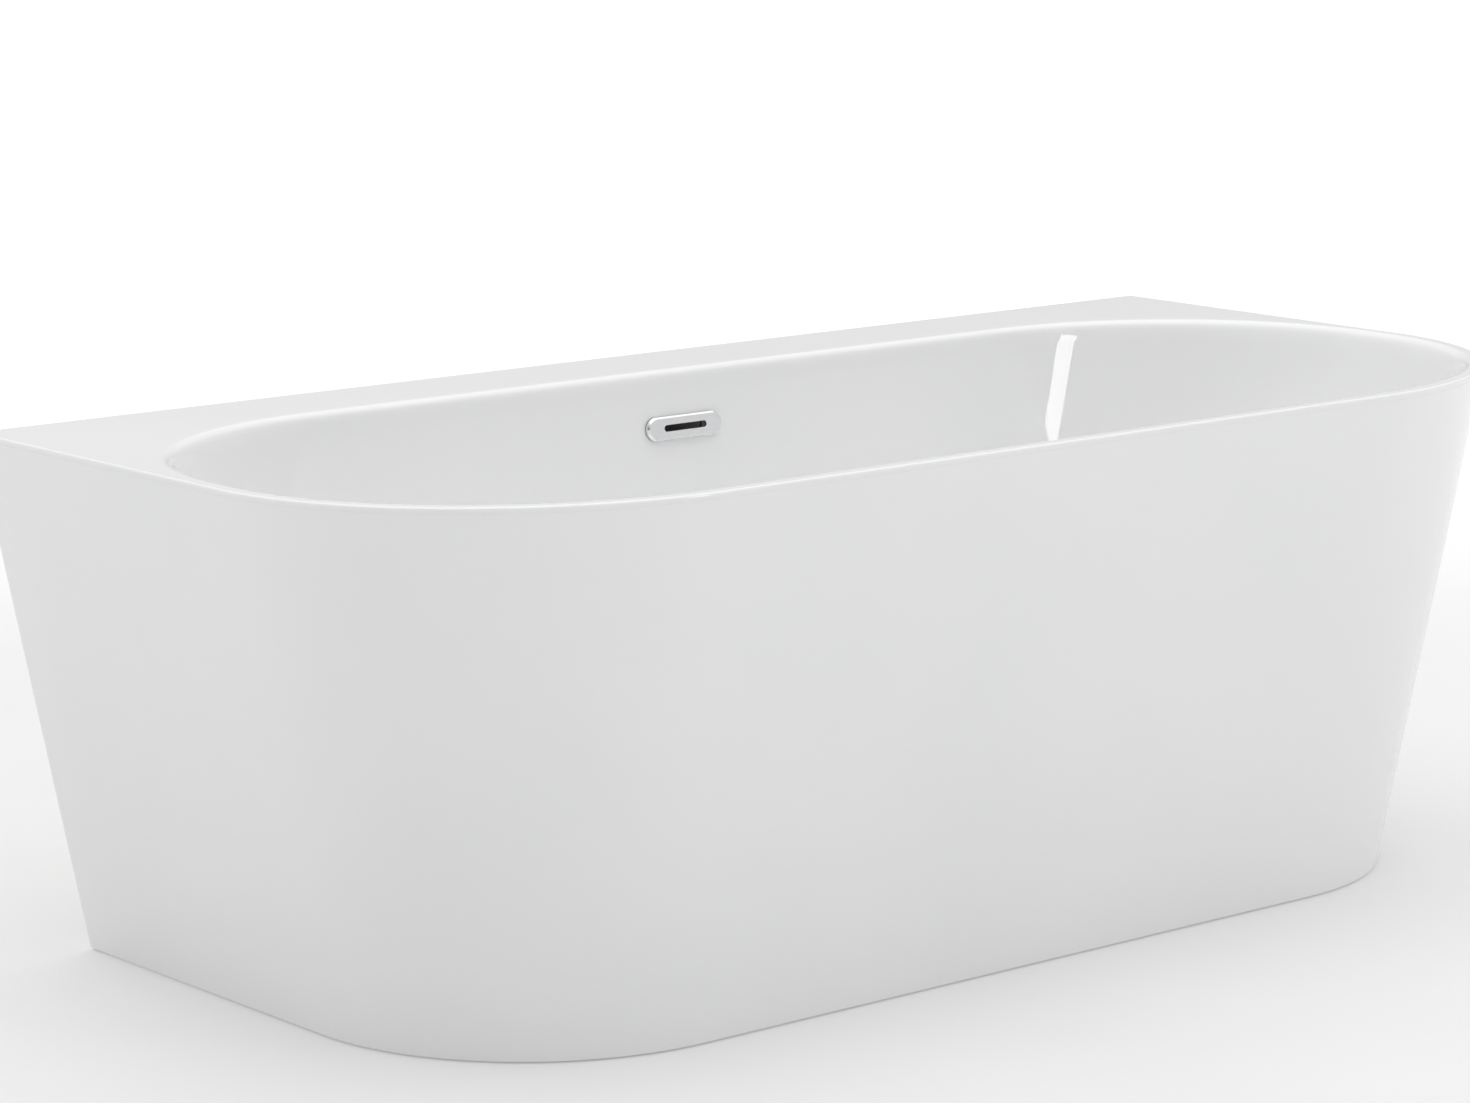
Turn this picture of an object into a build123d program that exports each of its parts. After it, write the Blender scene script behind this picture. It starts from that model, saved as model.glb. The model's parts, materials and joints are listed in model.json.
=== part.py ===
from build123d import *
import os
from math import atan, cos, pi, sin, sqrt

# Back-to-wall acrylic bathtub. Millimetres, +Z up, origin on the floor at the middle of the
# overall box. X runs along the bath, +Y faces the wall and -Y faces the room.

# Overall size
LENGTH = 1700
WIDTH = 780
HEIGHT = 580
WALL_Y = WIDTH / 2
FLOOR_GAP = 2

# Cutting tools run past the faces that they cut by this much, and screwed or sliding
# round fits have this radial clearance
OVERCUT = 1
FIT = 0.05

# Outline of the outside, at rim level and at the floor
END_DRAFT = 126
FRONT_DRAFT = 74
RIM_CORNER = (376, 327)
FOOT_CORNER = (279, 271)

# Rim and deck
DECK_T = 6
RIM_WIDTH = 14
RIM_EDGE_R = 3
ROLL_R = 10
BACK_DECK = 115
OPENING_BACK_CORNER = (330, 300)
REAR_LIP_HALF = 785
REAR_LIP_DROP = 34
REAR_LIP_T = 5
BOND_T = 1
BOND_RECESS = 0.1

# Basin
BASIN_DEPTH = 428
ACRYLIC_T = 4
LAMINATE_T = 3.7
GLUE_GAP = 0.3
END_SLOPE = 235
SIDE_SLOPE = 70
FLOOR_R = 85
FLOOR_CORNER = (250, 190)
END_EASE = 0.25
SIDE_EASE = 0.4
WALL_STATIONS = 8
FLOOR_STATIONS = 5
LAMINATE_TOP = 556

# Skirt
SKIRT_T = 5
RETURN_WIDTH = 40

# Board under the basin floor
BOARD_LENGTH = 1000
BOARD_WIDTH = 310
BOARD_Y = -50
BOARD_T = 18
BOARD_CORNER_R = 60
BOARD_HOLE_R = 52
BOARD_NOTCH = 50

# Steel frame of square tube
TUBE = 30
TUBE_WALL = 2
TUBE_EDGE_R = 3
CROSSBAR_X = {"outer_left": -460, "inner_left": -170, "inner_right": 170, "outer_right": 460}
CROSSBAR_FRONT = -255
CROSSBAR_BACK = 365
FRONT_RAIL_Y = -170
FRONT_RAIL_HALF = 640
REAR_RAIL_Y = 190
REAR_RAIL_HALF = 690
PAD_T = 8
PAD_SIDE = 38
SCREW_R = 2.5
SCREW_HOLE_R = 2.6
SCREW_HEAD_R = 5
SCREW_HEAD_T = 3
SCREW_BITE = 12
BOARD_SCREW_Y = (-130, 80)
BRACKET_W = 30
BRACKET_T = 2.5
BRACKET_DROP = 60
BRACKET_GAP = 0.3
BRACKET_REST = 40

# Levelling feet
FOOT_PLACES = {
    "front_left": (-600, FRONT_RAIL_Y),
    "front_middle": (0, FRONT_RAIL_Y),
    "front_right": (600, FRONT_RAIL_Y),
    "rear_left": (-600, REAR_RAIL_Y),
    "rear_right": (600, REAR_RAIL_Y),
}
PAD_R = 27
PAD_H = 12
PAD_NECK_R = 12
PAD_NECK_TOP = 24
ROD_R = 6
ROD_HOLE_R = 7
ROD_SEAT = 7
ROD_CHAMFER = 1
ROD_TOP = 93.5
NUT_ACROSS = 18
WELD_GAP = 0.3
LOCK_NUT_T = 8
WELD_NUT_T = 10

# Waste
DRAIN = (0, 45)
FLANGE_R = 36
FLANGE_T = 2
RECESS_R = 38
RECESS_DEPTH = 2.5
BOSS_R = 43
LAMINATE_HOLE_R = 44
FLOOR_HOLE_R = 23
NECK_R = 22
NECK_BORE_R = 19
NECK_GRIP = 20
SEAT_SEAL_T = 1
HUB_R = 9
HUB_T = 7
HUB_SINK = 8
SPOKE_W = 3
SPOKE_COUNT = 3
PLUG_R = 31
PLUG_T = 4
PLUG_CROWN_R = 190
PLUG_SEAL_T = 1
PLUG_SEAL_R = (22, 28)
PLUG_BOSS_R = 6.5
PLUG_BOSS_DROP = 1.5
BARREL_R = 6.5
BARREL_BORE_R = 4.5
BARREL_END_T = 2
BARREL_LID_T = 3
BARREL_TAIL = 6
BARREL_SINK = 3
BARREL_COLLAR = (8, 2)
PIN_R = 3.5
PIN_LIFT = 10
PIN_COLLAR_T = 2
SPRING_WIRE_R = 0.5
SPRING_R = 3.7
SPRING_TURNS = 5
BODY_R = 33
BODY_BORE_R = 28
BODY_SEAL_T = 3
BODY_BOTTOM = 82
SPIGOT_R = 20
SPIGOT_BORE_R = 17
SPIGOT_BOTTOM = 32
TRAP_R = 48
TRAP_WALL = 3
TRAP_TOP = 70
TRAP_BOTTOM = 10
TRAP_EDGE_R = 8
TRAP_COLLAR = (25, 2)
OUTLET_Z = 42
OUTLET_END = 380
OUTLET_SLEEVE_END = 128
OUTLET_START = 99
COLLAR_R = 22.5
COLLAR_Y = (326, 330)
NUT_BAND = 9
OUTLET_NUT_T = 16
FLUTE_R = 2
FLUTE_COUNT = 12

# Overflow
OVERFLOW_DEPTH = 65
COVER_LENGTH = 109
COVER_WIDTH = 27
COVER_T = 6
COVER_SKIN = 2
COVER_BEVEL = 2
FRONT_SEAL = (0.15, 1)
FRONT_SEAL_BAND = 3.5
CLIP_PLATE = (99, 17.5, 2)
CLIP_PLATE_HOLE = (66, 12)
SLOT_LENGTH = 62
SLOT_WIDTH = 7.5
THROAT_LENGTH = 70
THROAT_WIDTH = 15
OVERFLOW_SCREW_X = 42
HOUSING_LENGTH = 104
HOUSING_WIDTH = 34
HOUSING_FLANGE_T = 4
HOUSING_WALL = 3
CHAMBER_DEPTH = 51
BACK_SEAL_T = 2
OVERFLOW_SCREW_BITE = 8
OVERFLOW_SCREW_HEAD = (4, 1.8)
WALL_REACH = 30
PIPE_R = 12.5
PIPE_BORE_R = 10.5
PIPE_Y = 322
PIPE_TOP = 474
PORT_Z = 111
PORT_R = 17
PORT_END = 112
PORT_NUT_R = 20
PIPE_NUT_R = 19.5
PIPE_NUT_T = 14
PIPE_SOCKET = 12
SOCKET_WALL = 4
PIPE_INSIDE = 34
PIPE_BEND_R = 60


# ------------------------------------------------------------------ outlines and plain shapes

def mix(low, high, share):
    """Value a given share of the way from low to high."""
    return low + (high - low) * share


def square_back_outline(z, inset, back=WALL_Y):
    """Outside outline at height z: round front corners, square back corners."""
    share = z / HEIGHT
    half = LENGTH / 2 - END_DRAFT * (1 - share) - inset
    front = -WIDTH / 2 + FRONT_DRAFT * (1 - share) + inset
    rx = mix(FOOT_CORNER[0], RIM_CORNER[0], share) - inset
    ry = mix(FOOT_CORNER[1], RIM_CORNER[1], share) - inset
    cx = half - rx
    cy = front + ry
    edges = [
        EllipticalCenterArc((-cx, cy), rx, ry, start_angle=180, arc_size=90),
        Line((-cx, front), (cx, front)),
        EllipticalCenterArc((cx, cy), rx, ry, start_angle=270, arc_size=90),
        Line((half, cy), (half, back)),
        Line((half, back), (-half, back)),
        Line((-half, back), (-half, cy)),
    ]
    return Pos(0, 0, z) * Wire(edges)


def outside_slice(low, high, inset, back=WALL_Y):
    """Part of the drafted outside body between two heights, drawn in by inset."""
    return Solid.make_loft(
        [square_back_outline(low, inset, back), square_back_outline(high, inset, back)], ruled=True
    )


def opening_outline(z, end_inset, side_inset, front_corner, back_corner):
    """Outline of the basin at height z, all four corners quarter ellipses."""
    half = LENGTH / 2 - RIM_WIDTH - end_inset
    front = -WIDTH / 2 + RIM_WIDTH + side_inset
    back = WALL_Y - BACK_DECK - side_inset
    fx, fy = front_corner
    bx, by = back_corner
    edges = [
        EllipticalCenterArc((-half + fx, front + fy), fx, fy, start_angle=180, arc_size=90),
        Line((-half + fx, front), (half - fx, front)),
        EllipticalCenterArc((half - fx, front + fy), fx, fy, start_angle=270, arc_size=90),
        Line((half, front + fy), (half, back - by)),
        EllipticalCenterArc((half - bx, back - by), bx, by, start_angle=0, arc_size=90),
        Line((half - bx, back), (-half + bx, back)),
        EllipticalCenterArc((-half + bx, back - by), bx, by, start_angle=90, arc_size=90),
        Line((-half, back - by), (-half, front + fy)),
    ]
    return Pos(0, 0, z) * Wire(edges)


def eased(share, ease):
    """Wall run against depth: a straight slope that steepens towards the floor."""
    return (1 - ease) * share + ease * share**2


def basin_outline(share, floor_angle, grow):
    """Basin outline at a share of the depth, drawn in by the floor radius, grown by grow."""
    turn_in = FLOOR_R * (1 - cos(floor_angle)) - grow
    rim_front = (RIM_CORNER[0] - RIM_WIDTH - ROLL_R, RIM_CORNER[1] - RIM_WIDTH - ROLL_R)
    rim_back = (OPENING_BACK_CORNER[0] - ROLL_R, OPENING_BACK_CORNER[1] - ROLL_R)
    front_corner = [mix(top, low, share) - turn_in for top, low in zip(rim_front, FLOOR_CORNER)]
    back_corner = [mix(top, low, share) - turn_in for top, low in zip(rim_back, FLOOR_CORNER)]
    return opening_outline(
        HEIGHT - share * (BASIN_DEPTH + grow),
        ROLL_R + END_SLOPE * eased(share, END_EASE) + turn_in,
        ROLL_R + SIDE_SLOPE * eased(share, SIDE_EASE) + turn_in,
        front_corner,
        back_corner,
    )


def basin_body(grow):
    """Solid that fills the basin: sloping walls, then the radius into the flat floor."""
    wall_share = 1 - FLOOR_R / BASIN_DEPTH
    outlines = [
        basin_outline(wall_share * step / WALL_STATIONS, 0, grow) for step in range(WALL_STATIONS)
    ]
    for step in range(FLOOR_STATIONS):
        angle = pi / 2 * step / (FLOOR_STATIONS - 1)
        outlines.append(basin_outline(1 - FLOOR_R * (1 - sin(angle)) / BASIN_DEPTH, angle, grow))
    return Solid.make_loft(outlines)


def side_inset_at(depth):
    """How far the back wall stands in from the opening at a depth below the rim."""
    return ROLL_R + SIDE_SLOPE * eased(depth / BASIN_DEPTH, SIDE_EASE)


def disc(radius, low, high, at=(0, 0)):
    """Round bar between two heights."""
    return Pos(at[0], at[1], (low + high) / 2) * Cylinder(radius, high - low)


def ring(outer, inner, low, high, at=(0, 0)):
    """Round tube between two heights."""
    return disc(outer, low, high, at) - disc(inner, low, high, at)


def bar_y(radius, start, end, x, z):
    """Round bar along Y."""
    return Pos(x, (start + end) / 2, z) * Rot(X=90) * Cylinder(radius, end - start)


def tube_y(outer, inner, start, end, x, z):
    """Round tube along Y."""
    return bar_y(outer, start, end, x, z) - bar_y(inner, start, end, x, z)


def block(x, y, z):
    """Box from three (low, high) pairs."""
    centre = [(low + high) / 2 for low, high in (x, y, z)]
    size = [high - low for low, high in (x, y, z)]
    return Pos(*centre) * Box(*size)


def hexagon(across, low, high, at):
    """Hexagon nut blank, measured across its flats."""
    blank = extrude(RegularPolygon(across / 2, 6, major_radius=False), high - low)
    return Pos(at[0], at[1], low) * blank


def fluted_nut(outer, inner, low, high, at):
    """Hand nut with shallow flutes round it."""
    nut = ring(outer, inner, low, high, at)
    reach = outer + FLUTE_R / 2
    for index in range(FLUTE_COUNT):
        angle = 2 * pi * index / FLUTE_COUNT
        place = (at[0] + reach * cos(angle), at[1] + reach * sin(angle))
        nut -= disc(FLUTE_R, low, high, place)
    return nut


def square_tube(length):
    """Square tube along X with rounded edges."""
    outside = fillet(Box(length, TUBE, TUBE).edges().filter_by(Axis.X), TUBE_EDGE_R)
    hollow = TUBE - 2 * TUBE_WALL
    return outside - Box(length, hollow, hollow)


# ------------------------------------------------------------------ heights worked out

DECK_UNDER = HEIGHT - DECK_T
SKIRT_TOP = DECK_UNDER - BOND_T
BASIN_FLOOR = HEIGHT - BASIN_DEPTH
ACRYLIC_UNDER = BASIN_FLOOR - ACRYLIC_T
LAMINATE_UNDER = ACRYLIC_UNDER - GLUE_GAP - LAMINATE_T
BOARD_TOP = LAMINATE_UNDER - GLUE_GAP
CROSSBAR_TOP = BOARD_TOP - BOARD_T
CROSSBAR_LOW = CROSSBAR_TOP - TUBE
RAIL_LOW = CROSSBAR_LOW - TUBE
RECESS_FLOOR = BASIN_FLOOR - RECESS_DEPTH
BOSS_UNDER = RECESS_FLOOR - ACRYLIC_T
FLANGE_LOW = RECESS_FLOOR + SEAT_SEAL_T
FLANGE_TOP = FLANGE_LOW + FLANGE_T
BODY_TOP = BOSS_UNDER - BODY_SEAL_T
NECK_BOTTOM = BODY_TOP - NECK_GRIP
HUB_TOP = BODY_TOP - HUB_SINK
HUB_LOW = HUB_TOP - HUB_T
BARREL_LOW = HUB_LOW - BARREL_TAIL
BARREL_TOP = FLANGE_TOP - BARREL_SINK
PIN_LOW = BARREL_LOW + PIN_LIFT
PLUG_LOW = FLANGE_TOP + PLUG_SEAL_T
PIN_TOP = PLUG_LOW + PLUG_BOSS_DROP
OVERFLOW_Z = HEIGHT - OVERFLOW_DEPTH
OVERFLOW_Y = WALL_Y - BACK_DECK - side_inset_at(OVERFLOW_DEPTH)
WALL_TILT = atan(side_inset_at(OVERFLOW_DEPTH + 1) - side_inset_at(OVERFLOW_DEPTH))
# Local frame on the back wall: x along the bath, z out of the wall into the basin
OVERFLOW_PLANE = Plane(
    origin=(0, OVERFLOW_Y, OVERFLOW_Z), x_dir=(1, 0, 0), z_dir=(0, -cos(WALL_TILT), sin(WALL_TILT))
)
BEHIND_WALL = ACRYLIC_T + LAMINATE_T + 2 * GLUE_GAP
SEAL_FACE = -BEHIND_WALL - BACK_SEAL_T


# ------------------------------------------------------------------ shells

def wall_slot(length, width, low, high):
    """Oblong block square to the back wall, between two distances from its face."""
    return OVERFLOW_PLANE * Pos(0, 0, low) * extrude(SlotOverall(length, width), high - low)


def wall_screw_holes(radius):
    """The two holes for the overflow screws, square to the back wall."""
    holes = [
        OVERFLOW_PLANE * Pos(x, 0, -WALL_REACH) * extrude(Circle(radius), 2 * WALL_REACH)
        for x in (-OVERFLOW_SCREW_X, OVERFLOW_SCREW_X)
    ]
    return Compound(holes)


def basin_shell():
    """Acrylic bath: deck, rolled rim, walls and floor in one skin."""
    deck = outside_slice(DECK_UNDER, HEIGHT, 0)
    deck = fillet(deck.edges().group_by(Axis.Z)[-1], RIM_EDGE_R)
    shell = deck + basin_body(ACRYLIC_T)
    shell += block(
        (-REAR_LIP_HALF, REAR_LIP_HALF),
        (WALL_Y - REAR_LIP_T, WALL_Y),
        (DECK_UNDER - REAR_LIP_DROP, DECK_UNDER + DECK_T / 2),
    )
    shell += disc(BOSS_R, BOSS_UNDER, BASIN_FLOOR - OVERCUT, DRAIN)
    shell -= basin_body(0)
    mouth = [
        edge
        for edge in shell.edges().group_by(Axis.Z)[-1]
        if abs(edge.center().X) < LENGTH / 2 - RIM_WIDTH
        and -WIDTH / 2 + RIM_WIDTH < edge.center().Y < WALL_Y - BACK_DECK
    ]
    shell = fillet(mouth, ROLL_R)
    shell -= disc(RECESS_R, RECESS_FLOOR, BASIN_FLOOR + OVERCUT, DRAIN)
    shell -= disc(FLOOR_HOLE_R, BOSS_UNDER - OVERCUT, BASIN_FLOOR, DRAIN)
    shell -= wall_slot(THROAT_LENGTH, THROAT_WIDTH, -WALL_REACH, WALL_REACH)
    shell -= wall_screw_holes(SCREW_HOLE_R)
    return shell


def basin_laminate():
    """Glass-fibre layer on the back of the acrylic."""
    layer = basin_body(ACRYLIC_T + GLUE_GAP + LAMINATE_T) - basin_body(ACRYLIC_T + GLUE_GAP)
    layer -= block((-LENGTH, LENGTH), (-WIDTH, WIDTH), (LAMINATE_TOP, HEIGHT + OVERCUT))
    layer -= disc(LAMINATE_HOLE_R, LAMINATE_UNDER - OVERCUT, BASIN_FLOOR, DRAIN)
    layer -= wall_slot(THROAT_LENGTH, THROAT_WIDTH, -WALL_REACH, WALL_REACH)
    layer -= wall_screw_holes(SCREW_HOLE_R)
    return layer


def outer_skirt():
    """Drafted apron round the front and both ends, with a return at each back edge."""
    skirt = outside_slice(FLOOR_GAP, SKIRT_TOP, 0) - outside_slice(
        FLOOR_GAP, SKIRT_TOP, SKIRT_T, WALL_Y + RETURN_WIDTH
    )
    for side in (-1, 1):
        top = LENGTH / 2 - END_DRAFT * (1 - SKIRT_TOP / HEIGHT) - SKIRT_T / 2
        low = LENGTH / 2 - END_DRAFT * (1 - FLOOR_GAP / HEIGHT) - SKIRT_T / 2
        corners = [
            (side * low, FLOOR_GAP),
            (side * top, SKIRT_TOP),
            (side * (top - RETURN_WIDTH), SKIRT_TOP),
            (side * (low - RETURN_WIDTH), FLOOR_GAP),
        ]
        face = make_face(Polyline(*corners, close=True))
        skirt += Pos(0, WALL_Y, 0) * Rot(X=90) * extrude(face, SKIRT_T)
    return skirt


def rim_bond():
    """Bead of sealant between the deck and the top edge of the skirt."""
    return outside_slice(SKIRT_TOP, DECK_UNDER, BOND_RECESS) - outside_slice(
        SKIRT_TOP, DECK_UNDER, SKIRT_T, WALL_Y + RETURN_WIDTH
    )


def floor_board():
    """Board laminated under the basin floor, with a hole and a notch for the waste."""
    outline = RectangleRounded(BOARD_LENGTH, BOARD_WIDTH, BOARD_CORNER_R)
    board = Pos(0, BOARD_Y, CROSSBAR_TOP) * extrude(outline, BOARD_T)
    board -= disc(BOARD_HOLE_R, CROSSBAR_TOP - OVERCUT, BOARD_TOP + OVERCUT, DRAIN)
    board -= block(
        (DRAIN[0] - BOARD_NOTCH / 2, DRAIN[0] + BOARD_NOTCH / 2),
        (DRAIN[1], BOARD_Y + BOARD_WIDTH),
        (CROSSBAR_TOP - OVERCUT, BOARD_TOP + OVERCUT),
    )
    for x in CROSSBAR_X.values():
        for y in BOARD_SCREW_Y:
            board -= disc(SCREW_HOLE_R, CROSSBAR_TOP - OVERCUT, CROSSBAR_TOP + SCREW_BITE + OVERCUT, (x, y))
    return board


# ------------------------------------------------------------------ frame

def crossbar(x):
    """Tube across the bath under the board, drilled for the board and bracket screws."""
    length = CROSSBAR_BACK - CROSSBAR_FRONT
    middle = (CROSSBAR_BACK + CROSSBAR_FRONT) / 2
    tube = Pos(x, middle, (CROSSBAR_TOP + CROSSBAR_LOW) / 2) * Rot(Z=90) * square_tube(length)
    for y in BOARD_SCREW_Y:
        tube -= disc(SCREW_HOLE_R, CROSSBAR_LOW - OVERCUT, CROSSBAR_TOP + OVERCUT, (x, y))
    return tube - disc(SCREW_HOLE_R, CROSSBAR_TOP - TUBE / 2, CROSSBAR_TOP + OVERCUT, bracket_hole(x))


def rail(half, y):
    """Tube along the bath under the crossbars, drilled for the foot rods."""
    tube = Pos(0, y, (CROSSBAR_LOW + RAIL_LOW) / 2) * square_tube(2 * half)
    for place in FOOT_PLACES.values():
        if place[1] == y:
            tube -= disc(ROD_HOLE_R, RAIL_LOW - OVERCUT, RAIL_LOW + TUBE / 2, place)
            tube -= hexagon(NUT_ACROSS + 2 * WELD_GAP, RAIL_LOW - OVERCUT, RAIL_LOW + WELD_NUT_T, place)
    return tube


def upright(x):
    """Post from a crossbar's back end up to the deck, closed by a cap plate."""
    low = CROSSBAR_TOP
    high = DECK_UNDER - PAD_T
    post = Pos(x, CROSSBAR_BACK - TUBE / 2, (low + high) / 2) * Rot(Y=90) * square_tube(high - low)
    cap = block(
        (x - TUBE / 2, x + TUBE / 2), (CROSSBAR_BACK - TUBE, CROSSBAR_BACK), (high - TUBE_WALL, high)
    )
    return post + cap


def upright_pads():
    """Rubber pads between the posts and the deck."""
    pads = []
    for x in CROSSBAR_X.values():
        pad = Box(PAD_SIDE, PAD_SIDE, PAD_T)
        pad = fillet(pad.edges().filter_by(Axis.Z), TUBE_EDGE_R)
        pads.append(Pos(x, CROSSBAR_BACK - TUBE / 2, DECK_UNDER - PAD_T / 2) * pad)
    return Compound(pads)


def pan_screw(at, head_low, tip):
    """Screw that points up, with a domed head at its lower end."""
    head = disc(SCREW_HEAD_R, head_low, head_low + SCREW_HEAD_T, at)
    head = fillet(head.edges().group_by(Axis.Z)[0], SCREW_HEAD_T / 2)
    return head + disc(SCREW_R, head_low + SCREW_HEAD_T, tip, at)


def board_screws():
    """Screws up through the crossbars into the board."""
    screws = []
    for x in CROSSBAR_X.values():
        for y in BOARD_SCREW_Y:
            screws.append(pan_screw((x, y), CROSSBAR_LOW - SCREW_HEAD_T, CROSSBAR_TOP + SCREW_BITE))
    return Compound(screws)


# ------------------------------------------------------------------ skirt brackets

def bracket_hole(x):
    """Where a bracket's screw goes through a crossbar's top."""
    return (x, CROSSBAR_FRONT + BRACKET_REST / 2)


def skirt_front_at(z, x):
    """Y of the skirt's inner face at a height and a place along the bath."""
    share = z / HEIGHT
    half = LENGTH / 2 - END_DRAFT * (1 - share) - SKIRT_T
    front = -WIDTH / 2 + FRONT_DRAFT * (1 - share) + SKIRT_T
    rx = mix(FOOT_CORNER[0], RIM_CORNER[0], share) - SKIRT_T
    ry = mix(FOOT_CORNER[1], RIM_CORNER[1], share) - SKIRT_T
    run = max(0, abs(x) + BRACKET_W / 2 - (half - rx)) / rx
    return front + ry * (1 - sqrt(1 - run**2))


def skirt_bracket(x):
    """Bent strip from the top of a crossbar's front end down the back of the skirt."""
    top = CROSSBAR_TOP
    upper = skirt_front_at(top, x) + BRACKET_GAP
    lower = skirt_front_at(top - BRACKET_DROP, x) + BRACKET_GAP
    rest = CROSSBAR_FRONT + BRACKET_REST
    corners = [
        (upper, top),
        (upper, top + BRACKET_T),
        (rest, top + BRACKET_T),
        (rest, top),
        (upper + BRACKET_T, top),
        (lower + BRACKET_T, top - BRACKET_DROP),
        (lower, top - BRACKET_DROP),
    ]
    face = make_face(Polyline(*corners, close=True))
    strip = Pos(x - BRACKET_W / 2, 0, 0) * Rot(Z=90) * Rot(X=90) * extrude(face, BRACKET_W)
    return strip - disc(SCREW_HOLE_R, top - OVERCUT, top + BRACKET_T + OVERCUT, bracket_hole(x))


def skirt_brackets():
    """One bracket on each crossbar."""
    return Compound([skirt_bracket(x) for x in CROSSBAR_X.values()])


def bracket_screws():
    """Short screws that hold the brackets down on the crossbars."""
    screws = []
    for x in CROSSBAR_X.values():
        at = bracket_hole(x)
        seat = CROSSBAR_TOP + BRACKET_T
        head = disc(SCREW_HEAD_R, seat, seat + SCREW_HEAD_T, at)
        head = fillet(head.edges().group_by(Axis.Z)[-1], SCREW_HEAD_T / 2)
        screws.append(head + disc(SCREW_R, seat - SCREW_BITE, seat, at))
    return Compound(screws)


# ------------------------------------------------------------------ levelling feet

def foot_pad(at):
    """Moulded foot with a socket for its rod."""
    base = disc(PAD_R, 0, PAD_H, at)
    base = fillet(base.edges().group_by(Axis.Z)[-1], PAD_H / 3)
    pad = base + disc(PAD_NECK_R, PAD_H, PAD_NECK_TOP, at)
    return pad - disc(ROD_R + FIT, ROD_SEAT, PAD_NECK_TOP + OVERCUT, at)


def foot_rod(at):
    """Threaded rod, plain at its thread's outer diameter, with chamfered ends."""
    rod = disc(ROD_R, ROD_SEAT, ROD_TOP, at)
    return chamfer(rod.edges().filter_by(GeomType.CIRCLE), ROD_CHAMFER)


def rod_nut(low, thickness, at):
    """Hexagon nut with running clearance on the rod."""
    hole = disc(ROD_R + FIT, low - OVERCUT, low + thickness + OVERCUT, at)
    return hexagon(NUT_ACROSS, low, low + thickness, at) - hole


def weld_nuts():
    """Nuts welded into the rails, which the rods turn in."""
    return Compound([rod_nut(RAIL_LOW, WELD_NUT_T, place) for place in FOOT_PLACES.values()])


def lock_nuts():
    """Nuts that lock the rods from below."""
    return Compound([rod_nut(RAIL_LOW - LOCK_NUT_T, LOCK_NUT_T, place) for place in FOOT_PLACES.values()])


# ------------------------------------------------------------------ waste

def waste_flange():
    """Chromed seat and threaded neck, with a hub on spokes for the plug's barrel."""
    rim = disc(FLANGE_R, FLANGE_LOW, FLANGE_TOP, DRAIN)
    rim = fillet(rim.edges().group_by(Axis.Z)[-1], FLANGE_T / 2)
    flange = rim + disc(NECK_R, NECK_BOTTOM, FLANGE_LOW, DRAIN)
    flange -= disc(NECK_BORE_R, NECK_BOTTOM - OVERCUT, FLANGE_TOP + OVERCUT, DRAIN)
    for index in range(SPOKE_COUNT):
        spoke = Pos((NECK_BORE_R + NECK_R) / 4, 0, 0) * Box((NECK_BORE_R + NECK_R) / 2, SPOKE_W, HUB_T)
        turn = Rot(Z=360 * index / SPOKE_COUNT + 90)
        flange += Pos(DRAIN[0], DRAIN[1], (HUB_TOP + HUB_LOW) / 2) * turn * spoke
    flange += disc(HUB_R, HUB_LOW, HUB_TOP, DRAIN)
    return flange - disc(BARREL_R + FIT, HUB_LOW - OVERCUT, HUB_TOP + OVERCUT, DRAIN)


def plug_barrel():
    """Fixed barrel of the push-open plug, closed at the bottom."""
    barrel = disc(BARREL_R, BARREL_LOW, BARREL_TOP, DRAIN)
    barrel += disc(BARREL_COLLAR[0], HUB_TOP, HUB_TOP + BARREL_COLLAR[1], DRAIN)
    barrel -= disc(BARREL_BORE_R, BARREL_LOW + BARREL_END_T, BARREL_TOP - BARREL_LID_T, DRAIN)
    return barrel - disc(PIN_R + FIT, PIN_LOW, BARREL_TOP + OVERCUT, DRAIN)


def plug_cap():
    """Domed chromed cap of the plug."""
    cap = disc(PLUG_R, PLUG_LOW, PLUG_LOW + PLUG_T, DRAIN)
    dome = Pos(DRAIN[0], DRAIN[1], PLUG_LOW + PLUG_T - PLUG_CROWN_R) * Sphere(PLUG_CROWN_R)
    cap = cap & dome
    boss = disc(PLUG_BOSS_R, FLANGE_TOP - PLUG_BOSS_DROP, PLUG_LOW, DRAIN)
    return cap + boss - disc(PIN_R + FIT, BARREL_TOP, PIN_TOP, DRAIN)


def plug_pin():
    """Pin from the cap down into the barrel, with a collar that the spring pushes on."""
    pin = disc(PIN_R, PIN_LOW, PIN_TOP, DRAIN)
    return pin + disc(BARREL_BORE_R - FIT, PIN_LOW, PIN_LOW + PIN_COLLAR_T, DRAIN)


def plug_spring():
    """Compression spring under the pin."""
    low = BARREL_LOW + BARREL_END_T + SPRING_WIRE_R + FIT
    high = PIN_LOW - SPRING_WIRE_R - FIT
    path = Helix((high - low) / SPRING_TURNS, high - low, SPRING_R)
    start = Plane(origin=path @ 0, z_dir=path % 0)
    coil = sweep(start * Circle(SPRING_WIRE_R), path=path, is_frenet=True)
    return Pos(DRAIN[0], DRAIN[1], low) * coil


def plug_seal():
    """Rubber ring under the cap."""
    return ring(PLUG_SEAL_R[1], PLUG_SEAL_R[0], FLANGE_TOP, PLUG_LOW, DRAIN)


def flange_seal():
    """Soft ring between the flange and its recess in the bath."""
    return ring(FLANGE_R, FLOOR_HOLE_R, RECESS_FLOOR, FLANGE_LOW, DRAIN)


def body_seal():
    """Rubber ring between the bath's underside and the waste body."""
    return ring(BODY_R, FLOOR_HOLE_R, BODY_TOP, BOSS_UNDER, DRAIN)


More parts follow.
